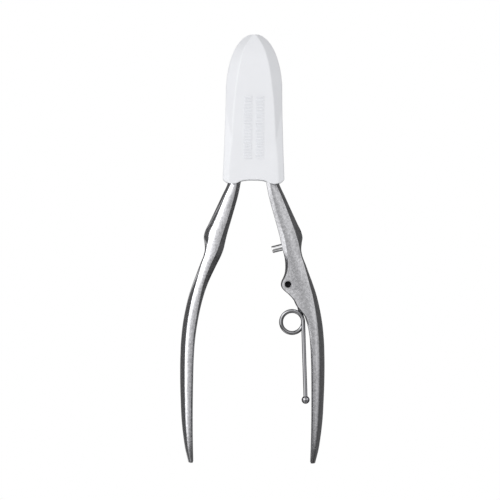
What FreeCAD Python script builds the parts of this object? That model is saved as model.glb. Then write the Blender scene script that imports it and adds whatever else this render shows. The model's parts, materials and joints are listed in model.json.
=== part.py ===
import FreeCAD, Part
import math
import os

# Slim lap-joint nippers with a slip-on plastic jaw cap, in millimetres and degrees.
# +Y runs from the pivot to the jaw tips, +X to the right handle, +Z up off the table.
# The pivot axis is X = Y = 0. Z = 0 is the cap's lower face, on which the tool lies.
# The two forgings are the same shape, turned half a turn about +Y, and lap at the pivot.
# Everything is drawn at rest: handles spread to their open stop, jaws apart in the cap.

V = FreeCAD.Vector
UP = V(0, 0, 1)

# Whole tool
CLOSING_ANGLE = 18.2      # turn of one handle about the other, from rest to jaws closed
HANDLE_LENGTH = 107.0     # pivot axis to handle end
HANDLE_BOW = 5.76         # most that a handle's inner edge bows out from the closing line
JAW_LENGTH = 16.2         # pivot axis to the cutting edges

# Lap joint
JOINT_THICKNESS = 7.0     # both halves together
HEAD_RADIUS = 6.9         # outline of the joint
LAP_RADIUS = 5.2          # round half-thickness cheek of each forging
LAP_CLEARANCE = 0.1       # cheek to the shoulder round it
LAP_GAP = 0.04            # between the two cheeks
SHOULDER_GAP = 0.12       # between the open-stop shoulders
CROTCH_MARGIN = 0.2       # angle kept between each inner edge and the centre when closed
NECK_CLEARANCE = 0.06     # from the neck's inner edge to the closing line

# Pivot screw, nut and washer
SCREW_RADIUS = 2.1
SCREW_CLEARANCE = 0.03
SCREW_HEAD_RADIUS = 3.5
SCREW_HEAD_HEIGHT = 1.4
SCREW_HEAD_PROUD = 0.6
SCREW_HEAD_CHAMFER = 0.35
SCREW_SLOT_WIDTH = 1.0
SCREW_SLOT_DEPTH = 0.7
SCREW_SLOT_TURN = 35.0    # from +X
SCREW_END_DEPTH = 0.2     # thread's end below the nut's face
THREAD_RADIUS = 1.75
NUT_RADIUS = 3.2
NUT_HEIGHT = 1.5
NUT_PROUD = 0.3
NUT_CHAMFER = 0.2
NUT_KEY_RADIUS = 0.45     # two blind holes for a pin spanner
WASHER_RADIUS = 4.3
WASHER_THICKNESS = 0.3
SEAT_CLEARANCE = 0.1      # round the screw head, nut and washer

# Jaws
JAW_GAP = 0.04            # left between each cutting edge and the centre plane when closed
JAW_HOLLOW = 1.35         # depth of the hollow behind the edges
JAW_TIP_THICKNESS = 4.8
JAW_TIP_STEP = 0.6        # forging's end below the cutting edges
THROAT_MARGIN = 0.9       # end of the hollow above the cheek
CARBIDE_LENGTH = 3.4
CARBIDE_THICKNESS = 1.3

# Stop pin in the right handle
STOP_PIN_RADIUS = 1.05
STOP_PIN_PLACE = 0.3953   # pivot axis to the pin, as a share of the handle's length
STOP_PIN_DEPTH = 2.8      # sunk in the handle
STOP_PIN_CHAMFER = 0.12
STOP_PIN_CLEARANCE = 0.08 # left between the pin and the left handle when closed
STRIKE_PAD_RISE = 0.4     # swelling of the left handle where the pin meets it
STRIKE_PAD_LENGTH = 9.0
STRIKE_PAD_HEIGHT = 3.2

# Folding spring and its lug on the right handle
SPRING_PIN_RADIUS = 0.75
SPRING_PIN_PLACE = 0.4991 # pivot axis to the pin, as a share of the handle's length
SPRING_PIN_RECESS = 0.35  # pin end below the lug's face
PIN_SINK_DEPTH = 0.5      # counterbore round each pin end
PIN_SINK_ROOM = 0.2       # counterbore's wall to the pin
PIN_SINK_CHAMFER = 0.15
LUG_STANDOFF = 3.0        # handle's inner edge to the spring pin
LUG_COVER = 0.1           # lug beyond the wire's eye
LUG_THICKNESS = 7.6
LUG_RISE = 10.5           # top of the lug above the spring pin
LUG_TAIL = 4.8            # bottom of the lug below the coil's centre
WIRE_RADIUS = 0.6
WIRE_EYE_CLEARANCE = 0.05
SLOT_CLEARANCE = 0.14     # wire to each wall of the lug's slot
SLOT_FLOOR_GAP = 0.25     # wire to the slot's floor
COIL_RADIUS = 3.3         # centre of the coil to the centre of the wire
COIL_DROP = 11.3          # spring pin to coil, down the handle
COIL_STANDOFF = 0.75      # coil to the handle's inner edge
COIL_CLEARANCE = 0.33     # coil to the lug
COIL_PITCH = 1.4
LEG_LENGTH = 23.4
BALL_RADIUS = 1.2
BALL_STANDOFF = 0.6       # ball to the handle's inner edge
BALL_BORE_DEPTH = 1.5

# Jaw cap
CAP_LENGTH = 44.9
CAP_WALL = 1.3
CAP_ROOM = 0.2            # side clearance on the head and on the shanks
CAP_TIP_ROOM = 3.95       # clearance past the jaw tips
CAP_DEPTH_ROOM = 0.6      # clearance over the screw head
CAP_NOSE_LENGTH = 16.65
CAP_LOBE = 1.2            # depth of the scallops along the mouth
FACET_TRIM = 0.3          # how far the lofted cap stands past its two flat faces

LEFT, RIGHT = -1, 1
HALF_CLOSING = CLOSING_ANGLE / 2
HALF_JOINT = JOINT_THICKNESS / 2
CAP_HALF_DEPTH = HALF_JOINT + SCREW_HEAD_PROUD + CAP_DEPTH_ROOM + CAP_WALL
MID_Z = CAP_HALF_DEPTH    # the tool's middle plane
CAP_TOP = JAW_LENGTH + CAP_TIP_ROOM + CAP_WALL
CAP_MOUTH = CAP_TOP - CAP_LENGTH
FAR = 200.0


# Neck of a handle, inside the cap. Each row is a cross-section: share of the way down to the
# cap's mouth, outer edge as a share of the head's radius, how far the ridge of each broad face
# lies in from the outer edge, half depth. Its inner edge follows the closing line.
NECK_SECTIONS = [
    (0.000, 1.000, 0.50, 3.64),
    (0.256, 0.982, 0.50, 3.64),
    (0.511, 0.951, 0.50, 3.64),
    (0.767, 0.979, 0.55, 3.62),
    (0.990, 1.120, 0.60, 3.50),
]

# Grip of a handle. Each row is a cross-section: share of the handle's length, share of the
# bow, width, how far the ridge of each broad face lies in from the outer edge, half depth.
GRIP_SECTIONS = [
    (0.288, 0.100, 5.60, 0.80, 3.60),
    (0.330, 0.195, 6.40, 1.15, 3.72),
    (0.364, 0.274, 6.80, 1.75, 3.85),
    (0.399, 0.307, 5.65, 0.45, 4.00),
    (0.440, 0.500, 5.10, 0.40, 4.15),
    (0.496, 0.812, 4.55, 1.00, 4.40),
    (0.566, 0.991, 4.45, 1.30, 4.65),
    (0.654, 1.000, 4.20, 1.40, 4.85),
    (0.766, 0.750, 3.90, 1.40, 4.90),
    (0.881, 0.411, 3.35, 1.30, 4.30),
    (0.953, 0.168, 2.50, 1.00, 3.40),
    (1.000, 0.000, 1.55, 0.70, 2.50),
]


def smooth_loop(points):
    """Closed cubic B-spline with the given control points."""
    curve = Part.BSplineCurve()
    count = len(points)
    curve.buildFromPolesMultsKnots(points, [1] * (count + 1), list(range(count + 1)), True, 3)
    return Part.Wire(curve.toShape())


def spline(points):
    """Open curve through the given points."""
    curve = Part.BSplineCurve()
    curve.interpolate(points)
    return curve


def prism(edges, low, high):
    """Solid between two heights, its outline made of the given edges."""
    face = Part.Face(Part.Wire(Part.__sortEdges__(edges)))
    face.translate(V(0, 0, low))
    return face.extrude(V(0, 0, high - low))


def polygon_edges(points):
    closed = points + [points[0]]
    return [Part.LineSegment(a, b).toShape() for a, b in zip(closed, closed[1:])]


def disc(radius, low, high, centre=V(0, 0, 0)):
    return Part.makeCylinder(radius, high - low, V(centre.x, centre.y, low))


def block(low, high):
    return Part.makeBox(high.x - low.x, high.y - low.y, high.z - low.z, low)


def turned(shape, angle, centre=V(0, 0, 0), axis=UP):
    copy = shape.copy()
    copy.rotate(centre, axis, angle)
    return copy


def one_solid(shape):
    """The single solid in a shape, with faces that continue each other merged."""
    solids = shape.removeSplitter().Solids
    if len(solids) != 1:
        raise ValueError(f"expected one solid, not {len(solids)}")
    return solids[0]


# --- the two forgings -------------------------------------------------------------

def closing_line(y):
    """Nearest that an inner edge may come to the centre plane at height y, at rest."""
    return -y * math.tan(math.radians(HALF_CLOSING + CROTCH_MARGIN))


def handle_rows():
    """Rows of (y, inner edge, outer edge, ridge, half depth), from the joint to the end."""
    rows = []
    for share, outer_share, ridge, half_depth in NECK_SECTIONS:
        y = share * CAP_MOUTH - SHOULDER_GAP / 2
        outer = outer_share * HEAD_RADIUS
        rows.append((y, closing_line(y) + NECK_CLEARANCE, outer, outer - ridge, half_depth))
    for share, bow_share, width, ridge, half_depth in GRIP_SECTIONS:
        y = -share * HANDLE_LENGTH - SHOULDER_GAP / 2
        inner = closing_line(y) + bow_share * HANDLE_BOW
        rows.append((y, inner, inner + width, inner + width - ridge, half_depth))
    return rows


def handle_section(y, inner, outer, ridge, half_depth):
    """Soft eight-sided section: a flat inner side, a ridge near the outer side, a round palm side."""
    width = outer - inner
    upper = [
        (outer, 0.42),
        (ridge + 0.45 * (outer - ridge), 0.86),
        (ridge, 1.02),
        (ridge - 0.25 * width, 1.01),
        (inner + 0.22 * width, 0.94),
        (inner + 0.02 * width, 0.78),
        (inner, 0.42),
    ]
    outline = [(outer, 0)] + upper + [(inner, 0)] + [(x, -z) for x, z in reversed(upper)]
    return smooth_loop([V(x, y, MID_Z + z * half_depth) for x, z in outline])


def edge_at(y, column):
    """Distance from the centre plane at height y of the edge in one column of handle_rows."""
    edge = spline([V(row[column], row[0], 0) for row in handle_rows()]).toShape()
    level = Part.LineSegment(V(-FAR, y, 0), V(FAR, y, 0)).toShape()
    return edge.distToShape(level)[1][0][0].x


def inner_edge(y):
    return edge_at(y, 1)


def outer_edge(y):
    return edge_at(y, 2)


def handle_body():
    """The handle from its shoulder to its end, its neck as flat as the joint."""
    body = Part.makeLoft([handle_section(*row) for row in handle_rows()], True, False)
    neck_end = CAP_MOUTH - 1
    for low, high in ((MID_Z + HALF_JOINT, MID_Z + FAR), (MID_Z - FAR, MID_Z - HALF_JOINT)):
        body = body.cut(block(V(-FAR, neck_end, low), V(FAR, FAR, high)))
    return body


def jaw_outline():
    """Right jaw seen from above with the jaws closed: the hollow, the seat of the tip, the back."""
    seat, end = JAW_LENGTH - CARBIDE_LENGTH, JAW_LENGTH - JAW_TIP_STEP
    throat = LAP_RADIUS + THROAT_MARGIN
    hollow = Part.Arc(V(JAW_GAP, throat, 0), V(JAW_HOLLOW, (throat + seat) / 2, 0), V(JAW_GAP, seat, 0))
    back = spline([
        V(HEAD_RADIUS, 0, 0),
        V(HEAD_RADIUS - 0.65, 0.22 * JAW_LENGTH, 0),
        V(HEAD_RADIUS - 2.2, 0.5 * JAW_LENGTH, 0),
        V(CARBIDE_THICKNESS + 1.9, seat, 0),
        V(CARBIDE_THICKNESS + 0.6, end, 0),
    ])
    corners = [V(CARBIDE_THICKNESS + 0.6, end, 0), V(JAW_GAP, end, 0), V(JAW_GAP, seat, 0)]
    foot = [V(JAW_GAP, throat, 0), V(JAW_GAP, -HEAD_RADIUS, 0), V(HEAD_RADIUS, -HEAD_RADIUS, 0),
            V(HEAD_RADIUS, 0, 0)]
    edges = [hollow.toShape(), back.toShape()]
    for chain in (corners, foot):
        edges += [Part.LineSegment(a, b).toShape() for a, b in zip(chain, chain[1:])]
    return edges


def jaw_taper():
    """Side view of a jaw: as thick as the joint at its root, thinner at its tip."""
    half_tip = JAW_TIP_THICKNESS / 2
    points = [
        V(0, -FAR, MID_Z - HALF_JOINT), V(0, LAP_RADIUS, MID_Z - HALF_JOINT),
        V(0, JAW_LENGTH + 1, MID_Z - half_tip), V(0, JAW_LENGTH + 1, MID_Z + half_tip),
        V(0, LAP_RADIUS, MID_Z + HALF_JOINT), V(0, -FAR, MID_Z + HALF_JOINT),
    ]
    face = Part.Face(Part.makePolygon(points + [points[0]]))
    face.translate(V(-FAR, 0, 0))
    return face.extrude(V(2 * FAR, 0, 0))


def carbide_tip_closed():
    """Brazed carbide bar of the right jaw, jaws closed, bevelled to its cutting edge."""
    root = JAW_LENGTH - CARBIDE_LENGTH
    outline = [
        V(JAW_GAP, root, 0), V(JAW_GAP + CARBIDE_THICKNESS, root, 0),
        V(JAW_GAP + CARBIDE_THICKNESS, JAW_LENGTH - 0.9, 0), V(JAW_GAP + 0.25, JAW_LENGTH, 0),
        V(JAW_GAP, JAW_LENGTH, 0),
    ]
    return prism(polygon_edges(outline), 0, 2 * MID_Z).common(jaw_taper())


def jaw_at_rest():
    """Right jaw with its tip's seat cut, turned out to the resting spread."""
    jaw = prism(jaw_outline(), 0, 2 * MID_Z).common(jaw_taper())
    seat = block(V(-1, JAW_LENGTH - CARBIDE_LENGTH, 0), V(JAW_GAP + CARBIDE_THICKNESS, FAR, FAR))
    jaw = turned(jaw.cut(seat), -HALF_CLOSING)
    return jaw.cut(block(V(-FAR, -FAR, 0), V(FAR, SHOULDER_GAP / 2, FAR)))


def forging():
    """Right handle with the left jaw. Its cheek is the lower half of the lap joint."""
    jaw = jaw_at_rest().mirror(V(0, 0, 0), V(1, 0, 0))
    lap_face = MID_Z - LAP_GAP / 2
    room = disc(LAP_RADIUS + LAP_CLEARANCE, lap_face, 2 * MID_Z)
    cheek = disc(LAP_RADIUS, MID_Z - HALF_JOINT, lap_face)
    return handle_body().fuse(jaw).cut(room).fuse(cheek)


def flipped(shape):
    """The shape turned half a turn about the tool's long axis."""
    return turned(shape, 180, V(0, 0, MID_Z), V(0, 1, 0))


# --- pivot ------------------------------------------------------------------------

SCREW_HEAD_SEAT = MID_Z + HALF_JOINT + SCREW_HEAD_PROUD - SCREW_HEAD_HEIGHT
WASHER_SEAT = MID_Z - LAP_GAP / 2 - WASHER_THICKNESS
NUT_SEAT = MID_Z - HALF_JOINT - NUT_PROUD + NUT_HEIGHT
NUT_FACE = NUT_SEAT - NUT_HEIGHT


def pivot_screw():
    head = disc(SCREW_HEAD_RADIUS, SCREW_HEAD_SEAT, SCREW_HEAD_SEAT + SCREW_HEAD_HEIGHT)
    top = SCREW_HEAD_SEAT + SCREW_HEAD_HEIGHT
    head = head.makeChamfer(SCREW_HEAD_CHAMFER, [e for e in head.Edges if e.CenterOfMass.z > top - 0.1])
    slot = block(V(-FAR, -SCREW_SLOT_WIDTH / 2, top - SCREW_SLOT_DEPTH), V(FAR, SCREW_SLOT_WIDTH / 2, FAR))
    slot = turned(slot, SCREW_SLOT_TURN)
    shoulder = disc(SCREW_RADIUS, WASHER_SEAT, SCREW_HEAD_SEAT)
    thread = disc(THREAD_RADIUS, NUT_FACE + SCREW_END_DEPTH, WASHER_SEAT)
    return one_solid(head.cut(slot).fuse(shoulder).fuse(thread))


def pivot_nut():
    nut = disc(NUT_RADIUS, NUT_FACE, NUT_SEAT).cut(disc(THREAD_RADIUS, 0, FAR))
    nut = nut.makeChamfer(NUT_CHAMFER, [e for e in nut.Edges if e.Length > 2 * math.pi * NUT_RADIUS - 0.1
                                        and e.CenterOfMass.z < NUT_FACE + 0.1])
    for side in (LEFT, RIGHT):
        key = V(side * (NUT_RADIUS + THREAD_RADIUS) / 2, 0, 0)
        nut = nut.cut(disc(NUT_KEY_RADIUS, 0, NUT_FACE + NUT_HEIGHT / 2, key))
    return one_solid(nut)


def thrust_washer():
    ring = disc(WASHER_RADIUS, WASHER_SEAT, WASHER_SEAT + WASHER_THICKNESS)
    return ring.cut(disc(SCREW_RADIUS + SCREW_CLEARANCE, 0, FAR))


# --- stop pin ---------------------------------------------------------------------

def stop_pin_frame():
    """Foot of the stop pin on the handle's inner edge, and its direction, square to that edge."""
    y = -STOP_PIN_PLACE * HANDLE_LENGTH
    step = 1.5
    slope = (inner_edge(y + step) - inner_edge(y - step)) / (2 * step)
    direction = V(-1, slope, 0).normalize()
    return V(inner_edge(y), y, MID_Z), direction


def strike_pad():
    """Shallow swelling on the right handle's inner edge, level with the stop pin."""
    half, y = STRIKE_PAD_LENGTH / 2, -STOP_PIN_PLACE * HANDLE_LENGTH
    top, bottom = V(inner_edge(y + half), y + half, 0), V(inner_edge(y - half), y - half, 0)
    crest = V(inner_edge(y) - STRIKE_PAD_RISE, y, 0)
    face = spline([top, crest, bottom]).toShape()
    inside = [bottom, V(bottom.x + 0.5, bottom.y, 0), V(top.x + 0.5, top.y, 0), top]
    edges = [face] + [Part.LineSegment(a, b).toShape() for a, b in zip(inside, inside[1:])]
    return prism(edges, MID_Z - STRIKE_PAD_HEIGHT / 2, MID_Z + STRIKE_PAD_HEIGHT / 2)


def stop_pin_reach(left):
    """How far the pin stands out: it meets the left handle when the jaws are closed."""
    foot, direction = stop_pin_frame()
    probe = Part.makeCylinder(STOP_PIN_RADIUS, FAR / 2, foot + direction, direction)
    struck = probe.common(turned(left, CLOSING_ANGLE))
    foot_plane = Part.makePlane(FAR, FAR, foot, direction)
    foot_plane.translate(foot - foot_plane.CenterOfMass)
    return struck.distToShape(foot_plane)[0] - STOP_PIN_CLEARANCE


def stop_pin(left):
    foot, direction = stop_pin_frame()
    length = STOP_PIN_DEPTH + stop_pin_reach(left)
    pin = Part.makeCylinder(STOP_PIN_RADIUS, length, foot - direction * STOP_PIN_DEPTH, direction)
    tip = foot + direction * (length - STOP_PIN_DEPTH)
    return pin.makeChamfer(STOP_PIN_CHAMFER, [e for e in pin.Edges if (e.CenterOfMass - tip).Length < 0.1])


# --- spring -----------------------------------------------------------------------

def spring_pin_centre():
    y = -SPRING_PIN_PLACE * HANDLE_LENGTH
    return V(inner_edge(y) - LUG_STANDOFF, y, MID_Z)


def spring_pin():
    half = LUG_THICKNESS / 2 - SPRING_PIN_RECESS
    return disc(SPRING_PIN_RADIUS, MID_Z - half, MID_Z + half, spring_pin_centre())


def lug():
    """Web on the handle's inner side that carries the spring pin.

    Its outline rounds the spring's eye, and its lower edge rounds the coil at a set clearance.
    """
    pin, eye, coil = spring_points()[:3]
    rim = eye + WIRE_RADIUS + LUG_COVER
    coil_rim = COIL_RADIUS + WIRE_RADIUS + COIL_CLEARANCE
    top_y, bottom_y = pin.y + LUG_RISE, coil.y - LUG_TAIL
    top = V(inner_edge(top_y) + 0.15, top_y, 0)
    bottom = V(inner_edge(bottom_y) + 0.1, bottom_y, 0)
    nose_top = flat(along_circle(pin, rim, 154))
    nose_bottom = flat(along_circle(pin, rim, 229))
    upper = spline([top, V(pin.x - 0.75, pin.y + 5.9, 0), V(pin.x - 1.0, pin.y + 3.0, 0), nose_top])
    nose = Part.Arc(nose_top, flat(along_circle(pin, rim, 180)), nose_bottom)
    round_coil = [flat(along_circle(coil, coil_rim, angle)) for angle in (56, 30, 4)]
    lower = spline([nose_bottom, V(pin.x + 0.1, pin.y - 2.9, 0),
                    flat(along_circle(coil, coil_rim + 0.75, 76))] + round_coil + [bottom])
    inside = [bottom, V(bottom.x + 1.2, bottom.y, 0), V(inner_edge(pin.y) + 1.6, pin.y, 0),
              V(top.x + 1.6, top.y, 0), top]
    edges = [upper.toShape(), nose.toShape(), lower.toShape()]
    edges += [Part.LineSegment(a, b).toShape() for a, b in zip(inside, inside[1:])]
    half = LUG_THICKNESS / 2
    return prism(edges, MID_Z - half, MID_Z + half)


def spring_pin_hole():
    """Hole through the lug, counterbored in each face, the edge of the counterbore broken."""
    centre = spring_pin_centre()
    hole = disc(SPRING_PIN_RADIUS, 0, 2 * MID_Z, centre)
    face = LUG_THICKNESS / 2
    radius = SPRING_PIN_RADIUS + PIN_SINK_ROOM
    sink = disc(radius, MID_Z + face - PIN_SINK_DEPTH, MID_Z + face + 1, centre)
    flare = V(centre.x, centre.y, MID_Z + face - PIN_SINK_CHAMFER)
    sink = sink.fuse(Part.makeCone(radius, radius + 1, 1, flare))
    return hole.fuse(sink).fuse(sink.mirror(V(0, 0, MID_Z), UP))


def spring_points():
    """Spring pin, eye radius, coil centre, and the turn and lean of the parked spring's legs.

    The wire leaves its eye round the pin, runs down to the coil's handle side, goes a full
    turn and a little more round it, and leaves on the same side as the long leg. The start
    angle is where the short leg touches both circles. The lean is the long leg's, from -Y.
    """
    pin = spring_pin_centre()
    eye = SPRING_PIN_RADIUS + WIRE_EYE_CLEARANCE + WIRE_RADIUS
    coil_y = pin.y - COIL_DROP
    coil = V(inner_edge(coil_y) - COIL_STANDOFF - WIRE_RADIUS - COIL_RADIUS, coil_y, MID_Z)
    between = coil - pin
    share = (eye - COIL_RADIUS) / between.Length
    start_angle = math.degrees(math.atan2(between.y, between.x) + math.acos(share))
    ball_x = inner_edge(coil_y - LEG_LENGTH) - BALL_STANDOFF - BALL_RADIUS
    lean = math.degrees(math.asin((ball_x - coil.x - COIL_RADIUS) / LEG_LENGTH))
    return pin, eye, coil, start_angle, lean


def along_circle(centre, radius, angle):
    turn = math.radians(angle)
    return V(centre.x + radius * math.cos(turn), centre.y + radius * math.sin(turn), centre.z)


def flat(point):
    return V(point.x, point.y, 0)


def rod(start, end, radius):
    return Part.makeCylinder(radius, (end - start).Length, start, end - start)


def wire_eye(pin, eye, start_angle):
    """Hook of three quarters of a turn round the pin."""
    ring = Part.makeTorus(eye, WIRE_RADIUS, pin, UP, -180, 180, 255)
    return turned(ring, start_angle, pin)


def wire_coil(coil, start_angle, lean):
    """One turn and a little more, rising by the pitch, level at both ends; also its last point."""
    steps = 30
    turn = 360 + start_angle - lean
    points = []
    for i in range(steps + 1):
        t = i / steps
        centre = V(coil.x, coil.y, coil.z + COIL_PITCH * t * t * (3 - 2 * t))
        points.append(along_circle(centre, COIL_RADIUS, start_angle - turn * t))
    start_direction = along_circle(V(0, 0, 0), 1, start_angle - 90)
    section = Part.Wire(Part.Circle(points[0], start_direction, WIRE_RADIUS).toShape())
    path = Part.Wire(spline(points).toShape())
    return path.makePipeShell([section], True, True), points[-1]


def long_leg_line():
    """Start of the long leg, its end in the ball's bore, and the ball's centre."""
    coil, start_angle, lean = spring_points()[2:]
    start = wire_coil(coil, start_angle, lean)[1]
    direction = along_circle(V(0, 0, 0), 1, lean - 90)
    ball = start + direction * LEG_LENGTH
    return start, ball - direction * (BALL_RADIUS - BALL_BORE_DEPTH), ball


def spring_wire():
    pin, eye, coil, start_angle, lean = spring_points()
    hook = wire_eye(pin, eye, start_angle)
    leg_top, leg_foot = along_circle(pin, eye, start_angle), along_circle(coil, COIL_RADIUS, start_angle)
    turns = wire_coil(coil, start_angle, lean)[0]
    start, end, _ = long_leg_line()
    return one_solid(hook.fuse([rod(leg_top, leg_foot, WIRE_RADIUS), turns, rod(start, end, WIRE_RADIUS)]))


def spring_ball():
    start, end, ball = long_leg_line()
    return Part.makeSphere(BALL_RADIUS, ball).cut(rod(start, end, WIRE_RADIUS))


def spring_slot():
    """Slot in the lug's middle plane that the short leg folds into."""
    pin, eye, coil, start_angle, _ = spring_points()
    reach = eye + WIRE_RADIUS + SLOT_FLOOR_GAP
    floor_start = along_circle(pin, reach, start_angle)
    floor_end = along_circle(coil, COIL_RADIUS + WIRE_RADIUS + SLOT_FLOOR_GAP, start_angle)
    beyond = floor_end + (floor_end - floor_start)
    open_x = pin.x - 3 * reach
    outline = [floor_start, beyond, V(open_x, beyond.y, 0), V(open_x, pin.y + reach, 0),
               V(pin.x, pin.y + reach, 0)]
    half = WIRE_RADIUS + SLOT_CLEARANCE
    corner = disc(reach, MID_Z - half, MID_Z + half, pin)
    return prism(polygon_edges([flat(p) for p in outline]), MID_Z - half, MID_Z + half).fuse(corner)


# --- handles ----------------------------------------------------------------------

def left_handle():
    """Upper forging: bored for the screw's shoulder and counterbored for its head."""
    body = flipped(forging().fuse(strike_pad()))
    body = body.cut(disc(SCREW_RADIUS + SCREW_CLEARANCE, 0, FAR))
    return one_solid(body.cut(disc(SCREW_HEAD_RADIUS + SEAT_CLEARANCE, SCREW_HEAD_SEAT, FAR)))


def right_handle():
    """Lower forging: tapped for the screw, with the washer's and nut's seats, lug and pin holes."""
    body = forging().fuse(lug()).cut(spring_slot()).cut(spring_pin_hole())
    body = body.cut(disc(THREAD_RADIUS, 0, FAR))
    body = body.cut(disc(WASHER_RADIUS + SEAT_CLEARANCE, WASHER_SEAT, MID_Z))
    body = body.cut(disc(NUT_RADIUS + SEAT_CLEARANCE, 0, NUT_SEAT))
    foot, direction = stop_pin_frame()
    floor = foot - direction * STOP_PIN_DEPTH
    bore = Part.makeCylinder(STOP_PIN_RADIUS, STOP_PIN_DEPTH + 2, floor, direction)
    return one_solid(body.cut(bore))


def carbide_tip(side):
    """Carbide tip of the jaw that belongs to the handle on the given side."""
    tip = turned(carbide_tip_closed(), -HALF_CLOSING)
    return tip if side == LEFT else flipped(tip)


# --- jaw cap ----------------------------------------------------------------------

def cap_half_width(y, inset):
    """Half width of the cap, or of its inside: wide mouth, head width, oval nose."""
    waist = HEAD_RADIUS + CAP_ROOM + CAP_WALL
    mouth = max(outer_edge(CAP_MOUTH) + CAP_ROOM + CAP_WALL, waist)
    nose_start = CAP_TOP - CAP_NOSE_LENGTH
    if y > nose_start:
        rise = min((y - nose_start) / (CAP_NOSE_LENGTH - inset), 1)
        return (waist - inset) * (1 - rise ** 1.85) ** 0.46
    share = (nose_start - y) / (nose_start - CAP_MOUTH)
    return waist - inset + (mouth - waist) * share ** 1.5


def cap_section(y, inset):
    """Eight-sided section of the cap, or of its inside: two broad faces, four bevels, two sides."""
    rise = max((y - CAP_TOP + CAP_NOSE_LENGTH) / CAP_NOSE_LENGTH, 0)
    half = cap_half_width(y, inset) + inset
    depth = (CAP_HALF_DEPTH + FACET_TRIM) * (1 - 0.62 * rise ** 2.6)
    bevel = 0.8 + 1.6 * min(max(y - CAP_MOUTH, 0) / (0.6 * CAP_LENGTH), 1)
    face = max(half - bevel, 0.45 * half)
    side = 0.7 * depth
    lean = math.atan2(half - face, depth - side)
    side_corner = (half - inset, side - inset * math.tan(lean / 2))
    face_corner = (face - inset * math.tan(math.pi / 4 - lean / 2), depth - inset)
    upper = [side_corner, face_corner, (-face_corner[0], face_corner[1]), (-side_corner[0], side_corner[1])]
    points = [V(x, y, MID_Z + z) for x, z in upper + [(x, -z) for x, z in reversed(upper)]]
    return Part.makePolygon(points + [points[0]])


def cap_body(inset, bottom):
    """Lofted body of the cap, or of its inside, from the mouth to the nose."""
    top = CAP_TOP - inset - 0.15
    shares = (0, 0.06, 0.15, 0.27, 0.39, 0.51, 0.63, 0.72, 0.81, 0.885, 0.94, 0.975, 1)
    levels = [bottom + (top - bottom) * share for share in shares]
    return Part.makeLoft([cap_section(y, inset) for y in levels], True, False)


def mouth_cutter():
    """Everything beyond the cap's scalloped mouth: a lobe over each shank, an arch between them."""
    half = cap_half_width(CAP_MOUTH, 0)
    shape = [(1.0, 1.0), (0.92, 0.45), (0.68, 0.0), (0.42, 0.75), (0.2, 1.0)]
    right = [V(half * x, CAP_MOUTH + CAP_LOBE * y, 0) for x, y in shape]
    left = [V(-p.x, p.y, 0) for p in reversed(right)]
    rim = spline(right + [V(0, CAP_MOUTH + CAP_LOBE, 0)] + left)
    out, low = right[0], CAP_MOUTH - 5
    chain = [left[-1], V(-out.x - 3, left[-1].y, 0), V(-out.x - 3, low, 0), V(out.x + 3, low, 0),
             V(out.x + 3, out.y, 0), out]
    edges = [rim.toShape()] + [Part.LineSegment(a, b).toShape() for a, b in zip(chain, chain[1:])]
    return prism(edges, -1, 2 * MID_Z + 1)


def jaw_cap():
    slab = block(V(-FAR, -FAR, 0), V(FAR, FAR, 2 * MID_Z))
    inner_slab = block(V(-FAR, -FAR, CAP_WALL), V(FAR, FAR, 2 * MID_Z - CAP_WALL))
    outside = cap_body(0, CAP_MOUTH).common(slab)
    inside = cap_body(CAP_WALL, CAP_MOUTH - 0.5).common(inner_slab)
    return one_solid(outside.cut(inside).cut(mouth_cutter()))


def main():
    left = left_handle()
    parts = {
        "left_handle": left,
        "right_handle": right_handle(),
        "left_handle_carbide_tip": carbide_tip(LEFT),
        "right_handle_carbide_tip": carbide_tip(RIGHT),
        "pivot_screw": pivot_screw(),
        "pivot_nut": pivot_nut(),
        "thrust_washer": thrust_washer(),
        "stop_pin": stop_pin(left),
        "spring_pin": spring_pin(),
        "spring_wire": spring_wire(),
        "spring_ball": spring_ball(),
        "jaw_cap": jaw_cap(),
    }
    os.makedirs("parts", exist_ok=True)
    for name, shape in parts.items():
        if not shape.isValid() or shape.Volume <= 0:
            raise ValueError(f"{name} is not a valid solid")
        shape.exportStep(f"parts/{name}.step")
        print(f"{name}: {shape.Volume:.1f} mm3, {len(shape.Faces)} faces")


main()
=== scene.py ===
import json
import math

import bpy
import numpy as np
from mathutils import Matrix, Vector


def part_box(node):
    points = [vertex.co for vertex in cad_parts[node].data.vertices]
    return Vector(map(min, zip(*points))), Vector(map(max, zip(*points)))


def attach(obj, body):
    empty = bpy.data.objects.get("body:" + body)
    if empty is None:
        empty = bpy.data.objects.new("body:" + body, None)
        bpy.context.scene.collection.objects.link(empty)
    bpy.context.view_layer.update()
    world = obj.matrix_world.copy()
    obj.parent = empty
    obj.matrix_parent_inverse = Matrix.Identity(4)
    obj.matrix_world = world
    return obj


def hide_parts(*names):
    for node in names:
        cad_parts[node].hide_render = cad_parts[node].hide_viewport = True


# Slim nippers with bowed steel handles, a folding spring and a slip-on plastic jaw cap.
# They lie flat: +Y runs to the jaw tips, +X to the handle with the spring, +Z is up.
# Sizes are in millimetres until a mesh is made of them.
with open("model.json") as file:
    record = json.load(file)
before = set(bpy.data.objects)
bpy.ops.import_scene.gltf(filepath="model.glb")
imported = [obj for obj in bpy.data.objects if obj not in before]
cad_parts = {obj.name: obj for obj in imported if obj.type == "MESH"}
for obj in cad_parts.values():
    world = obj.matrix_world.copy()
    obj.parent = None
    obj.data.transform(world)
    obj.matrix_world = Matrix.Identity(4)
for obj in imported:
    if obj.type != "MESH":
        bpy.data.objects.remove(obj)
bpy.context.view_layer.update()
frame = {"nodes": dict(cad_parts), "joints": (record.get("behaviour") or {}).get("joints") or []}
nodes = frame["nodes"]


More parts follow.
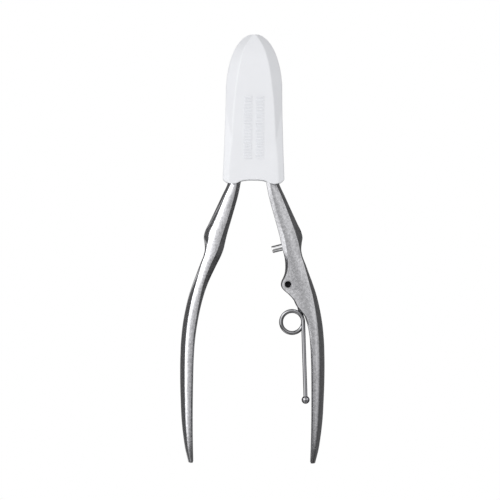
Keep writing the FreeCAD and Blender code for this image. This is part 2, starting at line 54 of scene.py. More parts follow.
# --- Camera -----------------------------------------------------------------------
# A long lens looking straight down on the tool, turned a third of a degree, because the
# tool lies that much off square in the view.
MM = 0.001
joints = {joint["name"]: joint for joint in frame["joints"]}
MID_Z = joints["handle_pivot"]["pos_m"][2] / MM
FIELD_WIDTH = 0.150
AIM_X, AIM_Y = -0.00092, -0.0432

camera = bpy.data.objects.new("camera", bpy.data.cameras.new("camera"))
bpy.context.scene.collection.objects.link(camera)
camera.data.lens = 200
camera.data.sensor_width = 36
camera.data.clip_start = 0.01
camera.data.clip_end = 10
height = FIELD_WIDTH * camera.data.lens / camera.data.sensor_width + MID_Z * MM
camera.location = (AIM_X, AIM_Y, height)
camera.rotation_euler = (0, 0, math.radians(0.36))
bpy.context.scene.camera = camera


# --- Floor and surroundings -------------------------------------------------------
# A white sweep that looks evenly white from above but dim in metal, inside a light tent that
# metal mirrors: brightest to the left, dim above and to the right, with a dark slit towards
# the near end. Matt surfaces see an even tent, a little brighter from the left.
FLOOR_HALF = 1.0
FLOOR_Z = -5e-5

# Brightness of the floor as the lens, matt surfaces and metal see it.
FLOOR_TO_LENS = 1.0
FLOOR_TO_MATT = 0.30
FLOOR_TO_METAL = 0.13

# Metal sees a narrow bright band in the floor, just outside the left handle's outer flank:
# where it lies across the tool, its level, and how far from its middle it starts to fade and
# has faded.
BAND_X = -0.0226
BAND_LEVEL = 0.75
BAND_FADE = (0.0008, 0.0022)

# Brightness of the tent across it, from the right wall (0) over the top (0.5) to the left, and
# how that is scaled along it, from the near end (0) to the far end (1).
TENT_ACROSS = [
    (0.00, 0.25), (0.02, 0.13), (0.09, 0.16), (0.16, 0.44), (0.24, 0.64), (0.31, 0.82),
    (0.37, 0.92), (0.41, 0.86), (0.445, 0.68), (0.475, 0.54), (0.50, 0.52), (0.53, 0.64),
    (0.56, 0.86), (0.60, 1.06), (0.646, 1.26), (0.70, 1.80), (0.76, 2.40), (0.866, 2.40),
    (0.90, 1.90), (0.933, 1.75), (1.00, 1.60),
]
TENT_ALONG = [
    (0.00, 0.80), (0.12, 0.70), (0.19, 0.16), (0.29, 0.13), (0.36, 0.70), (0.44, 0.88),
    (0.50, 1.00), (0.56, 1.00), (0.61, 1.10), (0.66, 1.90), (0.76, 1.90), (0.84, 0.45),
    (0.92, 0.75), (1.00, 0.90),
]

# The share of that brightness left at the foot of the walls, the height (as a direction's Z)
# where it is whole, and the light that matt surfaces get from the right and from the left.
WALL_FOOT = 0.42
WALL_WHOLE = 0.16
MATT_RIGHT, MATT_LEFT = 0.86, 1.52


def new_material(name):
    """Material with its nodes on, its node tree and its Principled BSDF."""
    material = bpy.data.materials.new(name)
    material.use_nodes = True
    return material, material.node_tree, material.node_tree.nodes["Principled BSDF"]


def new_node(tree, kind, values=None, **settings):
    """Shader node of a kind, with its settings and the values of some of its inputs."""
    node = tree.nodes.new("ShaderNode" + kind)
    for setting, value in settings.items():
        setattr(node, setting, value)
    for socket, value in (values or {}).items():
        node.inputs[socket].default_value = value
    return node


def link_all(tree, links):
    """Links from rows (node, its output, other node, its input)."""
    for source, output, target, socket in links:
        tree.links.new(source.outputs[output], target.inputs[socket])


floor_corners = [
    (-FLOOR_HALF, -FLOOR_HALF, FLOOR_Z), (FLOOR_HALF, -FLOOR_HALF, FLOOR_Z),
    (FLOOR_HALF, FLOOR_HALF, FLOOR_Z), (-FLOOR_HALF, FLOOR_HALF, FLOOR_Z),
]
floor_mesh = bpy.data.meshes.new("floor")
floor_mesh.from_pydata(floor_corners, [], [(0, 1, 2, 3)])
floor = bpy.data.objects.new("floor", floor_mesh)
bpy.context.scene.collection.objects.link(floor)

floor_material, tree, sheet = new_material("white_sweep")
sheet.inputs["Base Color"].default_value = (0, 0, 0, 1)
sheet.inputs["Specular IOR Level"].default_value = 0
sheet.inputs["Emission Color"].default_value = (1, 1, 1, 1)
rays = new_node(tree, "LightPath")
place = new_node(tree, "TexCoord")
parts = new_node(tree, "SeparateXYZ")
from_band = new_node(tree, "Math", {1: -BAND_X})
distance = new_node(tree, "Math", operation="ABSOLUTE")
band = new_node(tree, "MapRange", {
    "From Min": BAND_FADE[0], "From Max": BAND_FADE[1],
    "To Min": BAND_LEVEL, "To Max": FLOOR_TO_METAL,
})
to_metal = new_node(tree, "Mix", {"A": FLOOR_TO_MATT})
to_lens = new_node(tree, "Mix", {"B": FLOOR_TO_LENS})
link_all(tree, [
    (place, "Object", parts, "Vector"),
    (parts, "X", from_band, 0),
    (from_band, "Value", distance, 0),
    (distance, "Value", band, "Value"),
    (band, "Result", to_metal, "B"),
    (rays, "Is Glossy Ray", to_metal, "Factor"),
    (to_metal, "Result", to_lens, "A"),
    (rays, "Is Camera Ray", to_lens, "Factor"),
    (to_lens, "Result", sheet, "Emission Strength"),
])
floor_material.cycles.emission_sampling = "NONE"
floor_mesh.materials.append(floor_material)

world = bpy.data.worlds.new("light_tent")
bpy.context.scene.world = world
world.use_nodes = True
world.cycles.sampling_method = "NONE"
tree = world.node_tree
direction = new_node(tree, "TexCoord")
parts = new_node(tree, "SeparateXYZ")


def tent_ramp(axis, start, levels):
    """Brightness along one axis of the direction, whose start is given. Returns the ramp,
    which is a share of its peak, and the peak."""
    scale = new_node(tree, "MapRange", {"From Min": start, "From Max": -start})
    ramp = new_node(tree, "ValToRGB")
    while len(ramp.color_ramp.elements) < len(levels):
        ramp.color_ramp.elements.new(0.5)
    peak = max(level for _, level in levels)
    for element, (spot, level) in zip(ramp.color_ramp.elements, levels):
        element.position = spot
        element.color = (level / peak, level / peak, level / peak, 1)
    link_all(tree, [(parts, axis, scale, "Value"), (scale, "Result", ramp, "Fac")])
    return ramp, peak


across, across_peak = tent_ramp("X", 1, TENT_ACROSS)
along, along_peak = tent_ramp("Y", -1, TENT_ALONG)
both = new_node(tree, "VectorMath", operation="MULTIPLY")
walls = new_node(tree, "MapRange", {"From Min": 0, "From Max": WALL_WHOLE, "To Min": WALL_FOOT},
                 interpolation_type="SMOOTHSTEP")
strength = new_node(tree, "Math", {1: across_peak * along_peak}, operation="MULTIPLY")
even = new_node(tree, "MapRange", {
    "From Min": 1, "From Max": -1, "To Min": MATT_RIGHT, "To Max": MATT_LEFT,
})
rays = new_node(tree, "LightPath")
mirrored_tent = new_node(tree, "Background")
matt_tent = new_node(tree, "Background")
either = new_node(tree, "MixShader")
link_all(tree, [
    (direction, "Generated", parts, "Vector"),
    (across, "Color", both, 0),
    (along, "Color", both, 1),
    (both, "Vector", mirrored_tent, "Color"),
    (parts, "Z", walls, "Value"),
    (walls, "Result", strength, 0),
    (strength, "Value", mirrored_tent, "Strength"),
    (parts, "X", even, "Value"),
    (even, "Result", matt_tent, "Strength"),
    (rays, "Is Diffuse Ray", either, "Fac"),
    (mirrored_tent, "Background", either, 1),
    (matt_tent, "Background", either, 2),
    (either, "Shader", tree.nodes["World Output"], "Surface"),
])
bpy.context.scene.view_settings.view_transform = "Standard"


# --- Handles ----------------------------------------------------------------------
# Two forgings of stainless steel, the same shape turned over, blasted to a satin finish.
# Each is a neck and a bowed grip with a steep outer facet, a face that falls away outwards and
# an inner bevel, half of the lap joint, and one jaw. The right one has a web for the spring.
CLOSING_ANGLE = math.radians(18.2)
HALF_JOINT = 3.5
LAP_RADIUS = 5.2
LAP_ROOM = 0.1
HALF_GAP = 0.02
JAW_TAPER = 1.1
JAW_TAPER_LENGTH = 12
JAW_POWER = 0.16
BITE_CLEARANCE = 0.05
END_ROUNDING = 0.44

# Half the height of a block that cuts right through the tool.
BEYOND = 8

# From the joint to the end: height, inner edge, outer edge, width of the outer facet, width of
# the inner bevel, half depth.
HANDLE_ROWS = np.array([
    (-0.06, 0.07, 6.88, 0.60, 0.90, 3.50),
    (-6.0, 1.05, 6.76, 0.65, 0.95, 3.50),
    (-12.0, 2.04, 6.54, 0.75, 1.00, 3.50),
    (-18.0, 3.02, 6.76, 0.90, 1.05, 3.50),
    (-23.3, 3.89, 7.72, 1.05, 1.05, 3.50),
    (-27.0, 4.64, 9.42, 1.10, 1.05, 3.54),
    (-30.9, 5.69, 11.22, 1.30, 1.05, 3.60),
    (-35.4, 6.97, 13.34, 1.70, 1.15, 3.72),
    (-37.6, 7.60, 14.40, 1.98, 1.25, 3.80),
    (-39.4, 8.06, 14.80, 1.80, 1.35, 3.86),
    (-41.0, 8.42, 14.60, 1.10, 1.50, 3.92),
    (-43.0, 8.88, 14.45, 0.52, 1.65, 4.00),
    (-45.0, 9.62, 14.85, 0.46, 1.75, 4.08),
    (-47.1, 10.63, 15.68, 0.55, 1.75, 4.15),
    (-50.0, 12.04, 16.76, 0.80, 1.55, 4.27),
    (-53.1, 13.43, 17.93, 1.10, 1.25, 4.40),
    (-56.6, 14.65, 19.10, 1.32, 0.90, 4.53),
    (-60.6, 15.70, 20.08, 1.45, 0.62, 4.65),
    (-65.0, 16.56, 20.88, 1.52, 0.48, 4.76),
    (-70.0, 17.27, 21.40, 1.55, 0.42, 4.85),
    (-76.0, 17.66, 21.63, 1.55, 0.40, 4.90),
    (-82.0, 17.80, 21.63, 1.52, 0.38, 4.88),
    (-88.0, 17.86, 21.45, 1.45, 0.36, 4.66),
    (-94.3, 17.86, 21.12, 1.32, 0.33, 4.30),
    (-99.0, 17.80, 20.60, 1.15, 0.30, 3.82),
    (-103.0, 17.70, 19.98, 0.92, 0.26, 3.25),
    (-106.6, 17.58, 19.10, 0.62, 0.20, 2.55),
])

# The web, in place of the right handle's inner edge: height, edge, width of bevel, half depth.
WEB_ROWS = np.array([
    (-38.0, 7.71, 1.28, 3.82), (-40.0, 8.20, 1.28, 3.86), (-42.0, 8.64, 1.20, 3.90),
    (-43.4, 8.98, 1.10, 3.92), (-45.2, 9.45, 0.92, 3.93), (-47.6, 9.72, 0.72, 3.92),
    (-50.3, 9.50, 0.52, 3.89), (-51.5, 9.06, 0.42, 3.87), (-52.5, 8.60, 0.36, 3.86),
    (-53.4, 8.42, 0.32, 3.86), (-54.3, 8.60, 0.32, 3.86), (-55.1, 9.20, 0.32, 3.88),
    (-56.3, 10.58, 0.34, 4.06), (-58.0, 12.15, 0.36, 4.22), (-59.9, 13.12, 0.38, 4.38),
    (-61.2, 14.20, 0.38, 4.48), (-62.7, 15.42, 0.40, 4.58), (-64.4, 16.12, 0.42, 4.68),
    (-66.9, 16.80, 0.44, 4.77), (-69.3, 17.20, 0.44, 4.84),
])

# The jaw on the right: height, biting side, back.
JAW_ROWS = np.array([
    (-6.8, 0.06, 1.6), (-5.0, 0.06, 4.7), (-2.5, 0.06, 6.35), (0.0, 0.06, 6.86),
    (2.0, 0.06, 6.6), (4.0, 0.06, 6.1), (6.1, 0.06, 5.5), (7.4, 0.72, 5.02),
    (9.4, 1.32, 4.28), (11.4, 0.85, 3.60), (12.7, 0.10, 3.16), (12.9, 1.33, 3.08),
    (14.4, 1.34, 2.50), (15.6, 1.34, 1.92),
])

# Upper half of a section, from the outer flank to the inner one: how far across the facet,
# the face and the bevel, and the share of the half depth. One outline suits the neck, the
# other the rounder grip.
NECK_OUTLINE = np.array([
    (0.00, 0, 0, 0.00), (0.00, 0, 0, 0.17), (0.02, 0, 0, 0.28), (0.10, 0, 0, 0.37),
    (0.36, 0, 0, 0.545), (0.62, 0, 0, 0.70), (0.88, 0, 0, 0.835), (0.98, 0, 0, 0.868),
    (1, 0.01, 0, 0.870), (1, 0.06, 0, 0.885), (1, 0.17, 0, 0.918), (1, 0.27, 0, 0.943),
    (1, 0.36, 0, 0.961), (1, 0.45, 0, 0.974), (1, 0.54, 0, 0.984), (1, 0.63, 0, 0.991),
    (1, 0.73, 0, 0.996), (1, 0.83, 0, 0.999), (1, 0.92, 0, 1.000), (1, 1, 0.00, 1.000),
    (1, 1, 0.28, 0.935), (1, 1, 0.56, 0.870), (1, 1, 0.84, 0.805), (1, 1, 0.97, 0.772),
    (1, 1, 1, 0.70), (1, 1, 1, 0.47), (1, 1, 1, 0.23),
])
GRIP_OUTLINE = np.array([
    (0.00, 0, 0, 0.00), (0.00, 0, 0, 0.15), (0.02, 0, 0, 0.27), (0.10, 0, 0, 0.39),
    (0.36, 0, 0, 0.61), (0.62, 0, 0, 0.78), (0.88, 0, 0, 0.905), (0.98, 0, 0, 0.938),
    (1, 0.01, 0, 0.946), (1, 0.06, 0, 0.955), (1, 0.14, 0, 0.966), (1, 0.23, 0, 0.977),
    (1, 0.32, 0, 0.985), (1, 0.41, 0, 0.991), (1, 0.52, 0, 0.995), (1, 0.64, 0, 0.998),
    (1, 0.76, 0, 1.000), (1, 0.88, 0, 1.000), (1, 0.95, 0, 1.000), (1, 1, 0.00, 0.999),
    (1, 1, 0.35, 0.969), (1, 1, 0.70, 0.939), (1, 1, 0.92, 0.920), (1, 1, 0.98, 0.885),
    (1, 1, 1, 0.70), (1, 1, 1, 0.47), (1, 1, 1, 0.23),
])

# Distances from the pivot between which the neck's outline turns into the grip's.
NECK_TO_GRIP = (46, 66)


def through(points, at):
    """Smooth curve through rows (place, values): between neighbours a cubic whose slope at
    each row is that of the line joining the rows beside it."""
    order = np.argsort(points[:, 0])
    x, v = points[order, 0], points[order, 1:]
    slope = np.gradient(v, x, axis=0)
    i = np.clip(np.searchsorted(x, at) - 1, 0, len(x) - 2)
    step = (x[i + 1] - x[i])[:, None]
    t = (at - x[i])[:, None] / step
    ends = (2 * t**3 - 3 * t**2 + 1) * v[i] + (3 * t**2 - 2 * t**3) * v[i + 1]
    bend = (t**3 - 2 * t**2 + t) * slope[i] + (t**3 - t**2) * slope[i + 1]
    return ends + step * bend


def ease(value, low, high):
    """0 below low, 1 above high, and 3 t squared minus 2 t cubed between them."""
    t = np.clip((value - low) / (high - low), 0, 1)
    return t * t * (3 - 2 * t)


def signed_volume(mesh):
    """A sixth of the sum of a . (b x c) over the triangles: positive if they face outwards."""
    mesh.calc_loop_triangles()
    corners = np.empty(len(mesh.loop_triangles) * 3, np.int32)
    mesh.loop_triangles.foreach_get("vertices", corners)
    places = np.empty(len(mesh.vertices) * 3)
    mesh.vertices.foreach_get("co", places)
    a, b, c = np.moveaxis(places.reshape(-1, 3)[corners.reshape(-1, 3)], 1, 0)
    return np.einsum("ij,ij->i", a, np.cross(b, c)).sum() / 6


def skin(name, rings):
    """Closed surface through rings[i, j], point j of ring i: quads join neighbouring rings,
    and a fan to a ring's mean point closes each end."""
    count, around = rings.shape[:2]
    points = np.concatenate([rings.reshape(-1, 3), rings[:1].mean(1), rings[-1:].mean(1)]) * MM
    start_point, end_point = count * around, count * around + 1
    j = np.arange(around)
    k = (j + 1) % around
    first = np.arange(count - 1)[:, None] * around
    second = first + around
    quads = np.stack([first + j, first + k, second + k, second + j], -1).reshape(-1, 4)
    last = (count - 1) * around
    start_fan = np.stack([np.full(around, start_point), k, j], -1)
    end_fan = np.stack([np.full(around, end_point), last + j, last + k], -1)
    mesh = bpy.data.meshes.new(name)
    mesh.from_pydata(points, [], quads.tolist() + start_fan.tolist() + end_fan.tolist())
    if signed_volume(mesh) < 0:
        mesh.flip_normals()
    piece = bpy.data.objects.new(name, mesh)
    bpy.context.scene.collection.objects.link(piece)
    return piece


def stacked_discs(name, levels, centre=(0, 0)):
    """Upright solid of 96 sides through circles of rows (radius, height)."""
    turn = np.linspace(0, 2 * np.pi, 96, endpoint=False)
    circle = np.stack([np.cos(turn), np.sin(turn), 0 * turn], -1)
    return skin(name, np.stack([(*centre, height) + circle * radius for radius, height in levels]))


def prism(name, outline, low, high):
    """Upright solid over an outline of (x, y) corners, between two heights."""
    ring = np.column_stack([outline, np.zeros(len(outline))])
    return skin(name, np.stack([ring + (0, 0, low), ring + (0, 0, high)]))


def combine(piece, others, operation):
    """The piece joined with, or cut by, the others in turn, which are then removed."""
    for other in others:
        step = piece.modifiers.new("combine", "BOOLEAN")
        step.operation = operation
        step.object = other
        step.solver = "EXACT"
    graph = bpy.context.evaluated_depsgraph_get()
    finished = bpy.data.meshes.new_from_object(piece.evaluated_get(graph))
    finished.name = piece.name
    piece.modifiers.clear()
    piece.data = finished
    for other in others:
        bpy.data.objects.remove(other)
    return piece


def smooth(piece, angle=22):
    """Smooth shading, broken where faces meet at more than the angle, in degrees."""
    piece.data.polygons.foreach_set("use_smooth", np.ones(len(piece.data.polygons), bool))
    piece.data.set_sharp_from_angle(angle=math.radians(angle))
    return piece


def assign(piece, body, node, material):
    """The piece rides on a body, stands in for a node if one is given, and has a material."""
    piece.data.materials.clear()
    piece.data.materials.append(material)
    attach(piece, body)
    if node:
        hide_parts(node)


def turned(rings, angle):
    """Rings turned about the pivot."""
    c, s = math.cos(angle), math.sin(angle)
    x, y, z = np.moveaxis(rings, -1, 0)
    return np.stack([c * x - s * y, s * x + c * y, z], -1)


def mirrored(rings):
    """Rings mirrored from right to left."""
    return rings * (-1, 1, 1)


def flipped(rings):
    """Rings turned half a turn about the tool's long axis."""
    return rings * (-1, 1, -1) + (0, 0, 2 * MID_Z)


def handle_rings(web):
    """Rings of one handle on the right, from the joint to its end. At each height the outline
    is stretched over the facet, face and bevel between the outer and inner edges, and
    mirrored below the middle plane. The last rings draw in to round the end. With a web, the
    web's rows take the place of the inner edge."""
    heights = np.linspace(HANDLE_ROWS[0, 0], HANDLE_ROWS[-1, 0], 440)
    inner, outer, facet, bevel, depth = through(HANDLE_ROWS, heights).T
    inner_depth = depth
    if web:
        inside = (heights < WEB_ROWS[0, 0]) & (heights > WEB_ROWS[-1, 0])
        edge, rim, level = through(WEB_ROWS, np.clip(heights, WEB_ROWS[-1, 0], WEB_ROWS[0, 0])).T
        inner, bevel = np.where(inside, edge, inner), np.where(inside, rim, bevel)
        inner_depth = np.where(inside, level, depth)
    grip_share = ease(-heights, *NECK_TO_GRIP)[:, None, None]
    outline = NECK_OUTLINE + (GRIP_OUTLINE - NECK_OUTLINE) * grip_share
    outline = np.concatenate([outline, (outline * (1, 1, 1, -1))[:, :0:-1]], 1)
    in_facet, in_face, in_bevel, level = np.moveaxis(outline, -1, 0)
    face = (outer - inner - facet - bevel)[:, None]
    x = outer[:, None] - facet[:, None] * in_facet - face * in_face - bevel[:, None] * in_bevel
    z = MID_Z + level * (depth[:, None] + (inner_depth - depth)[:, None] * in_face)
    rings = np.stack([x, np.broadcast_to(heights[:, None], x.shape), z], -1)
    turn = np.linspace(0, np.pi / 2, 9)[1:, None, None]
    end = rings[-1]
    drawn_in = end.mean(0) + (end - end.mean(0)) * (0.5 + 0.5 * np.cos(turn))
    return np.concatenate([rings, drawn_in - (0, END_ROUNDING, 0) * np.sin(turn)])


def superellipse(turn, power):
    """Both coordinates, each the cosine or sine with its size raised to the power."""
    cosine, sine = np.cos(turn), np.sin(turn)
    return np.sign(cosine) * np.abs(cosine) ** power, np.sign(sine) * np.abs(sine) ** power


def jaw_rings():
    """Rings of the jaw on the right, jaws closed, from under the joint to its tip. Each is a
    rounded rectangle from the biting side to the back, thinner towards the tip."""
    heights = np.linspace(JAW_ROWS[0, 0], JAW_ROWS[-1, 0], 120)
    inner, outer = through(JAW_ROWS, heights).T
    inner = np.maximum(inner, BITE_CLEARANCE)
    half = HALF_JOINT - JAW_TAPER * np.clip((heights - LAP_RADIUS) / JAW_TAPER_LENGTH, 0, 1)
    across, up = superellipse(np.linspace(0, 2 * np.pi, 72, endpoint=False), JAW_POWER)
    x = ((inner + outer)[:, None] + (outer - inner)[:, None] * across) / 2
    z = MID_Z + half[:, None] * up
    return np.stack([x, np.broadcast_to(heights[:, None], x.shape), z], -1)


def forging(name, web, place):
    """One handle, its half of the joint and its jaw, set in place by the given function. The
    jaw is cut off at the joint's shoulder and joined on, room for the other half is cut out
    of both, and the round cheek of the joint is joined on last."""
    def lap_disc(piece_name, radius, low, high):
        levels = sorted(place(np.array([(0, 0, low), (0, 0, high)], float))[:, 2])
        return stacked_discs(piece_name, [(radius, level) for level in levels])

    body = skin(name, place(handle_rings(web)))
    jaw = skin("jaw", place(mirrored(turned(jaw_rings(), -CLOSING_ANGLE / 2))))
    below_shoulder = [(-9, 0.06), (9, 0.06), (9, -9), (-9, -9)]
    shoulder = prism("below_shoulder", below_shoulder, MID_Z - BEYOND, MID_Z + BEYOND)
    combine(jaw, [shoulder], "DIFFERENCE")
    combine(body, [jaw], "UNION")
    room = lap_disc("room", LAP_RADIUS + LAP_ROOM, MID_Z - HALF_GAP, MID_Z + BEYOND)
    combine(body, [room], "DIFFERENCE")
    cheek = lap_disc("cheek", LAP_RADIUS, MID_Z - HALF_JOINT, MID_Z - HALF_GAP)
    return combine(body, [cheek], "UNION")


def metal_grain():
    """Node group for worked metal: cloudy tone, fine lengthwise streaks and a blasted grain.
    It gives a factor round 1 for the colour, one round 0 for roughness, and a bump height."""
    group = bpy.data.node_groups.new("metal_grain", "ShaderNodeTree")
    for in_out, names in (("INPUT", ("Clouds", "Streaks", "Grain", "Grain Size")),
                          ("OUTPUT", ("Tone", "Roughness Shift", "Height"))):
        for name in names:
            group.interface.new_socket(name=name, in_out=in_out, socket_type="NodeSocketFloat")
    take, give = group.nodes.new("NodeGroupInput"), group.nodes.new("NodeGroupOutput")
    place = new_node(group, "TexCoord")

    def math_node(operation, a, b):
        """Output of a math node on two inputs, each a number or another node's output."""
        node = new_node(group, "Math", operation=operation)
        for socket, value in zip(node.inputs, (a, b)):
            if isinstance(value, (int, float)):
                socket.default_value = value
            else:
                group.links.new(value, socket)
        return node.outputs[0]

    def noise(scale, detail, stretch):
        """Noise round 0 whose scale is a number or another node's output."""
        mapping = new_node(group, "Mapping", {"Scale": stretch})
        texture = new_node(group, "TexNoise", {"Detail": detail})
        link_all(group, [
            (place, "Object", mapping, "Vector"), (mapping, "Vector", texture, "Vector"),
        ])
        if isinstance(scale, (int, float)):
            texture.inputs["Scale"].default_value = scale
        else:
            group.links.new(scale, texture.inputs["Scale"])
        return math_node("SUBTRACT", texture.outputs[0], 0.5)

    grain_scale = math_node("DIVIDE", 1000, take.outputs["Grain Size"])
    clouds = noise(260, detail=3, stretch=(1, 0.5, 1))
    streaks = noise(1500, detail=2, stretch=(1, 0.09, 1))
    grain = noise(grain_scale, detail=2, stretch=(1, 1, 1))
    cloud_part = math_node("MULTIPLY", clouds, take.outputs["Clouds"])
    streak_part = math_node("MULTIPLY", streaks, take.outputs["Streaks"])
    grain_part = math_node("MULTIPLY", grain, take.outputs["Grain"])
    soft_part = math_node("ADD", cloud_part, streak_part)
    tone = math_node("ADD", math_node("ADD", soft_part, grain_part), 1)
    shift = math_node("MULTIPLY", soft_part, -0.5)
    grain_bumps = math_node("MULTIPLY", grain, 0.8)
    streak_bumps = math_node("MULTIPLY", streaks, 0.2)
    bumps = math_node("ADD", grain_bumps, streak_bumps)
    for name, output in (("Tone", tone), ("Roughness Shift", shift), ("Height", bumps)):
        group.links.new(output, give.inputs[name])
    return group


METAL_GRAIN = metal_grain()


def metal(name, colour, roughness, clouds, streaks, grain, grain_size, bump):
    """Metal of one colour whose tone, roughness and surface vary as the metal grain says.
    The bump is the depth of the grain in millimetres."""
    material, tree, shader = new_material(name)
    grain_node = tree.nodes.new("ShaderNodeGroup")
    grain_node.node_tree = METAL_GRAIN
    amounts = {"Clouds": clouds, "Streaks": streaks, "Grain": grain, "Grain Size": grain_size}
    for socket, value in amounts.items():
        grain_node.inputs[socket].default_value = value
    tint = new_node(tree, "VectorMath", {0: colour}, operation="SCALE")
    rough = new_node(tree, "Math", {1: roughness}, operation="ADD")
    relief = new_node(tree, "Bump", {"Distance": bump * MM, "Strength": 1})
    link_all(tree, [
        (grain_node, "Tone", tint, "Scale"),
        (tint, "Vector", shader, "Base Color"),
        (grain_node, "Roughness Shift", rough, 0),
        (rough, "Value", shader, "Roughness"),
        (grain_node, "Height", relief, "Height"),
        (relief, "Normal", shader, "Normal"),
    ])
    shader.inputs["Metallic"].default_value = 1
    return material


satin_stainless = metal("satin_stainless", (0.57, 0.57, 0.59), roughness=0.17,
                        clouds=0.35, streaks=0.40, grain=1.00, grain_size=0.62, bump=0.030)
right_handle = forging("right_handle_forging", True, lambda rings: rings)
left_handle = forging("left_handle_forging", False, flipped)

# The slot in the web that the spring's short leg folds into, the spring pin's hole, and the
# dished seat round each end of the hole (height over the middle plane, radius).
PIN_X, PIN_Y = (joints["spring_swing"]["pos_m"][i] / MM for i in (0, 1))
SLOT_HALF = 0.74
HOLE_RADIUS = 0.96
SEAT_LEVELS = [(3.2, 0.5), (3.5, 0.96), (3.81, 0.99), (3.82, 1.30), (4.4, 1.34)]
slot_corners = [
    (PIN_X + 2.16, PIN_Y + 0.62), (PIN_X + 5.9, PIN_Y - 12.8), (PIN_X + 8.0, PIN_Y - 22),
    (PIN_X - 7, PIN_Y - 22), (PIN_X - 7, PIN_Y + 2.25), (PIN_X + 0.3, PIN_Y + 2.25),
    (PIN_X + 1.4, PIN_Y + 1.75),
]
slot = prism("slot", slot_corners, MID_Z - SLOT_HALF, MID_Z + SLOT_HALF)
hole_levels = [(HOLE_RADIUS, MID_Z - BEYOND), (HOLE_RADIUS, MID_Z + BEYOND)]
hole = stacked_discs("hole", hole_levels, (PIN_X, PIN_Y))
combine(right_handle, [slot, hole], "DIFFERENCE")
for side in (1, -1):
    levels = [(radius, MID_Z + side * height) for height, radius in SEAT_LEVELS]
    seat = stacked_discs("seat", levels, (PIN_X, PIN_Y))
    combine(right_handle, [seat], "DIFFERENCE")
assign(smooth(right_handle), "right_side", "right_handle", satin_stainless)
assign(smooth(left_handle), "left_side", "left_handle", satin_stainless)


# --- Stop pin ---------------------------------------------------------------------
# A polished dowel pressed into the right handle's inner side, square to it. The left
# handle strikes it when the jaws are nearly together.
polished_stainless = metal("polished_stainless", (0.80, 0.80, 0.81), roughness=0.05,
                           clouds=0.10, streaks=0.06, grain=0.05, grain_size=0.3, bump=0.002)


def revolved(name, profile, start, direction):
    """Surface of revolution: rows (distance along the direction from the start, radius) are
    carried round it on circles."""
    axis = np.array(direction, float) / np.linalg.norm(direction)
    side = np.cross(axis, (0, 0, 1)) if abs(axis[2]) < 0.9 else np.array((1.0, 0, 0))
    side = side / np.linalg.norm(side)
    turn = np.linspace(0, 2 * np.pi, 64, endpoint=False)[:, None]
    circle = side * np.cos(turn) + np.cross(axis, side) * np.sin(turn)
    distance, radius = np.array(profile).T[:, :, None, None]
    return skin(name, np.array(start) + axis * distance + circle * radius)


# The foot is where the pin's axis leaves the handle. The radius and the reach beyond the foot
# come from the CAD pin's box, of which the slanted end's rim takes a quarter of a radius. The
# profile's rows are (distance from the foot, radius).
STOP_DIRECTION = (-0.968, -0.2516, 0)
STOP_FOOT = (8.67, -42.3, MID_Z)
stop_low, stop_high = (np.array(corner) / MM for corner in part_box("stop_pin"))
stop_radius = (stop_high[2] - stop_low[2]) / 2
stop_reach = (STOP_FOOT[0] - stop_low[0] - 0.25 * stop_radius) / -STOP_DIRECTION[0]
stop_profile = [
    (-2.6, stop_radius - 0.1), (-2.5, stop_radius), (-2.3, stop_radius),
    (stop_reach - 0.3, stop_radius), (stop_reach - 0.16, stop_radius),
    (stop_reach - 0.06, stop_radius - 0.04), (stop_reach, stop_radius - 0.16),
    (stop_reach, stop_radius - 0.6),
]
stop_pin = smooth(revolved("stop_pin_dowel", stop_profile, STOP_FOOT, STOP_DIRECTION), 50)
assign(stop_pin, "right_side", "stop_pin", polished_stainless)


# --- Spring -----------------------------------------------------------------------
# Hard-drawn 1.2 mm stainless wire: a hook round the pin, a short leg, one coil, and a long
# leg that runs down beside the handle. It folds about the pin into the slot of the web.
WIRE_RADIUS = 0.6
HOOK_RADIUS = 1.4
HOOK_ARC = math.radians(255)
COIL_CENTRE = (11.826, -64.704)
COIL_RADIUS = 3.3
COIL_PITCH = 1.4
START_ANGLE = math.radians(16.38)
LEAN = math.radians(2.18)
LEG_DIRECTION = np.array((math.sin(LEAN), -math.cos(LEAN), 0))
LEG_LENGTH = 23.4
LEG_IN_BALL = 0.3
DOME_START = 0.15


def arc(centre, radius, turn, height):
    """Points at angles round a centre, at a height over the middle plane."""
    x = centre[0] + radius * np.cos(turn)
    return np.stack([x, centre[1] + radius * np.sin(turn), height + 0 * turn], -1)


def spring_path():
    """Centre line of the wire: an arc of 255 degrees round the pin, a straight leg, a coil of a
    full turn and a little more that climbs by 3 t squared minus 2 t cubed, a straight leg."""
    turn = np.linspace(START_ANGLE + HOOK_ARC, START_ANGLE, 60)
    hook = arc((PIN_X, PIN_Y), HOOK_RADIUS, turn, 0)
    t = np.linspace(0, 1, 140)
    turn = START_ANGLE - (2 * math.pi + START_ANGLE - LEAN) * t
    coil = arc(COIL_CENTRE, COIL_RADIUS, turn, COIL_PITCH * ease(t, 0, 1))
    short = hook[-1] + (coil[0] - hook[-1]) * np.linspace(0, 1, 24)[1:-1, None]
    leg = coil[-1] + LEG_DIRECTION * np.linspace(0, LEG_LENGTH - LEG_IN_BALL, 40)[1:, None]
    return np.concatenate([hook, short, coil, leg]) + (0, 0, MID_Z)


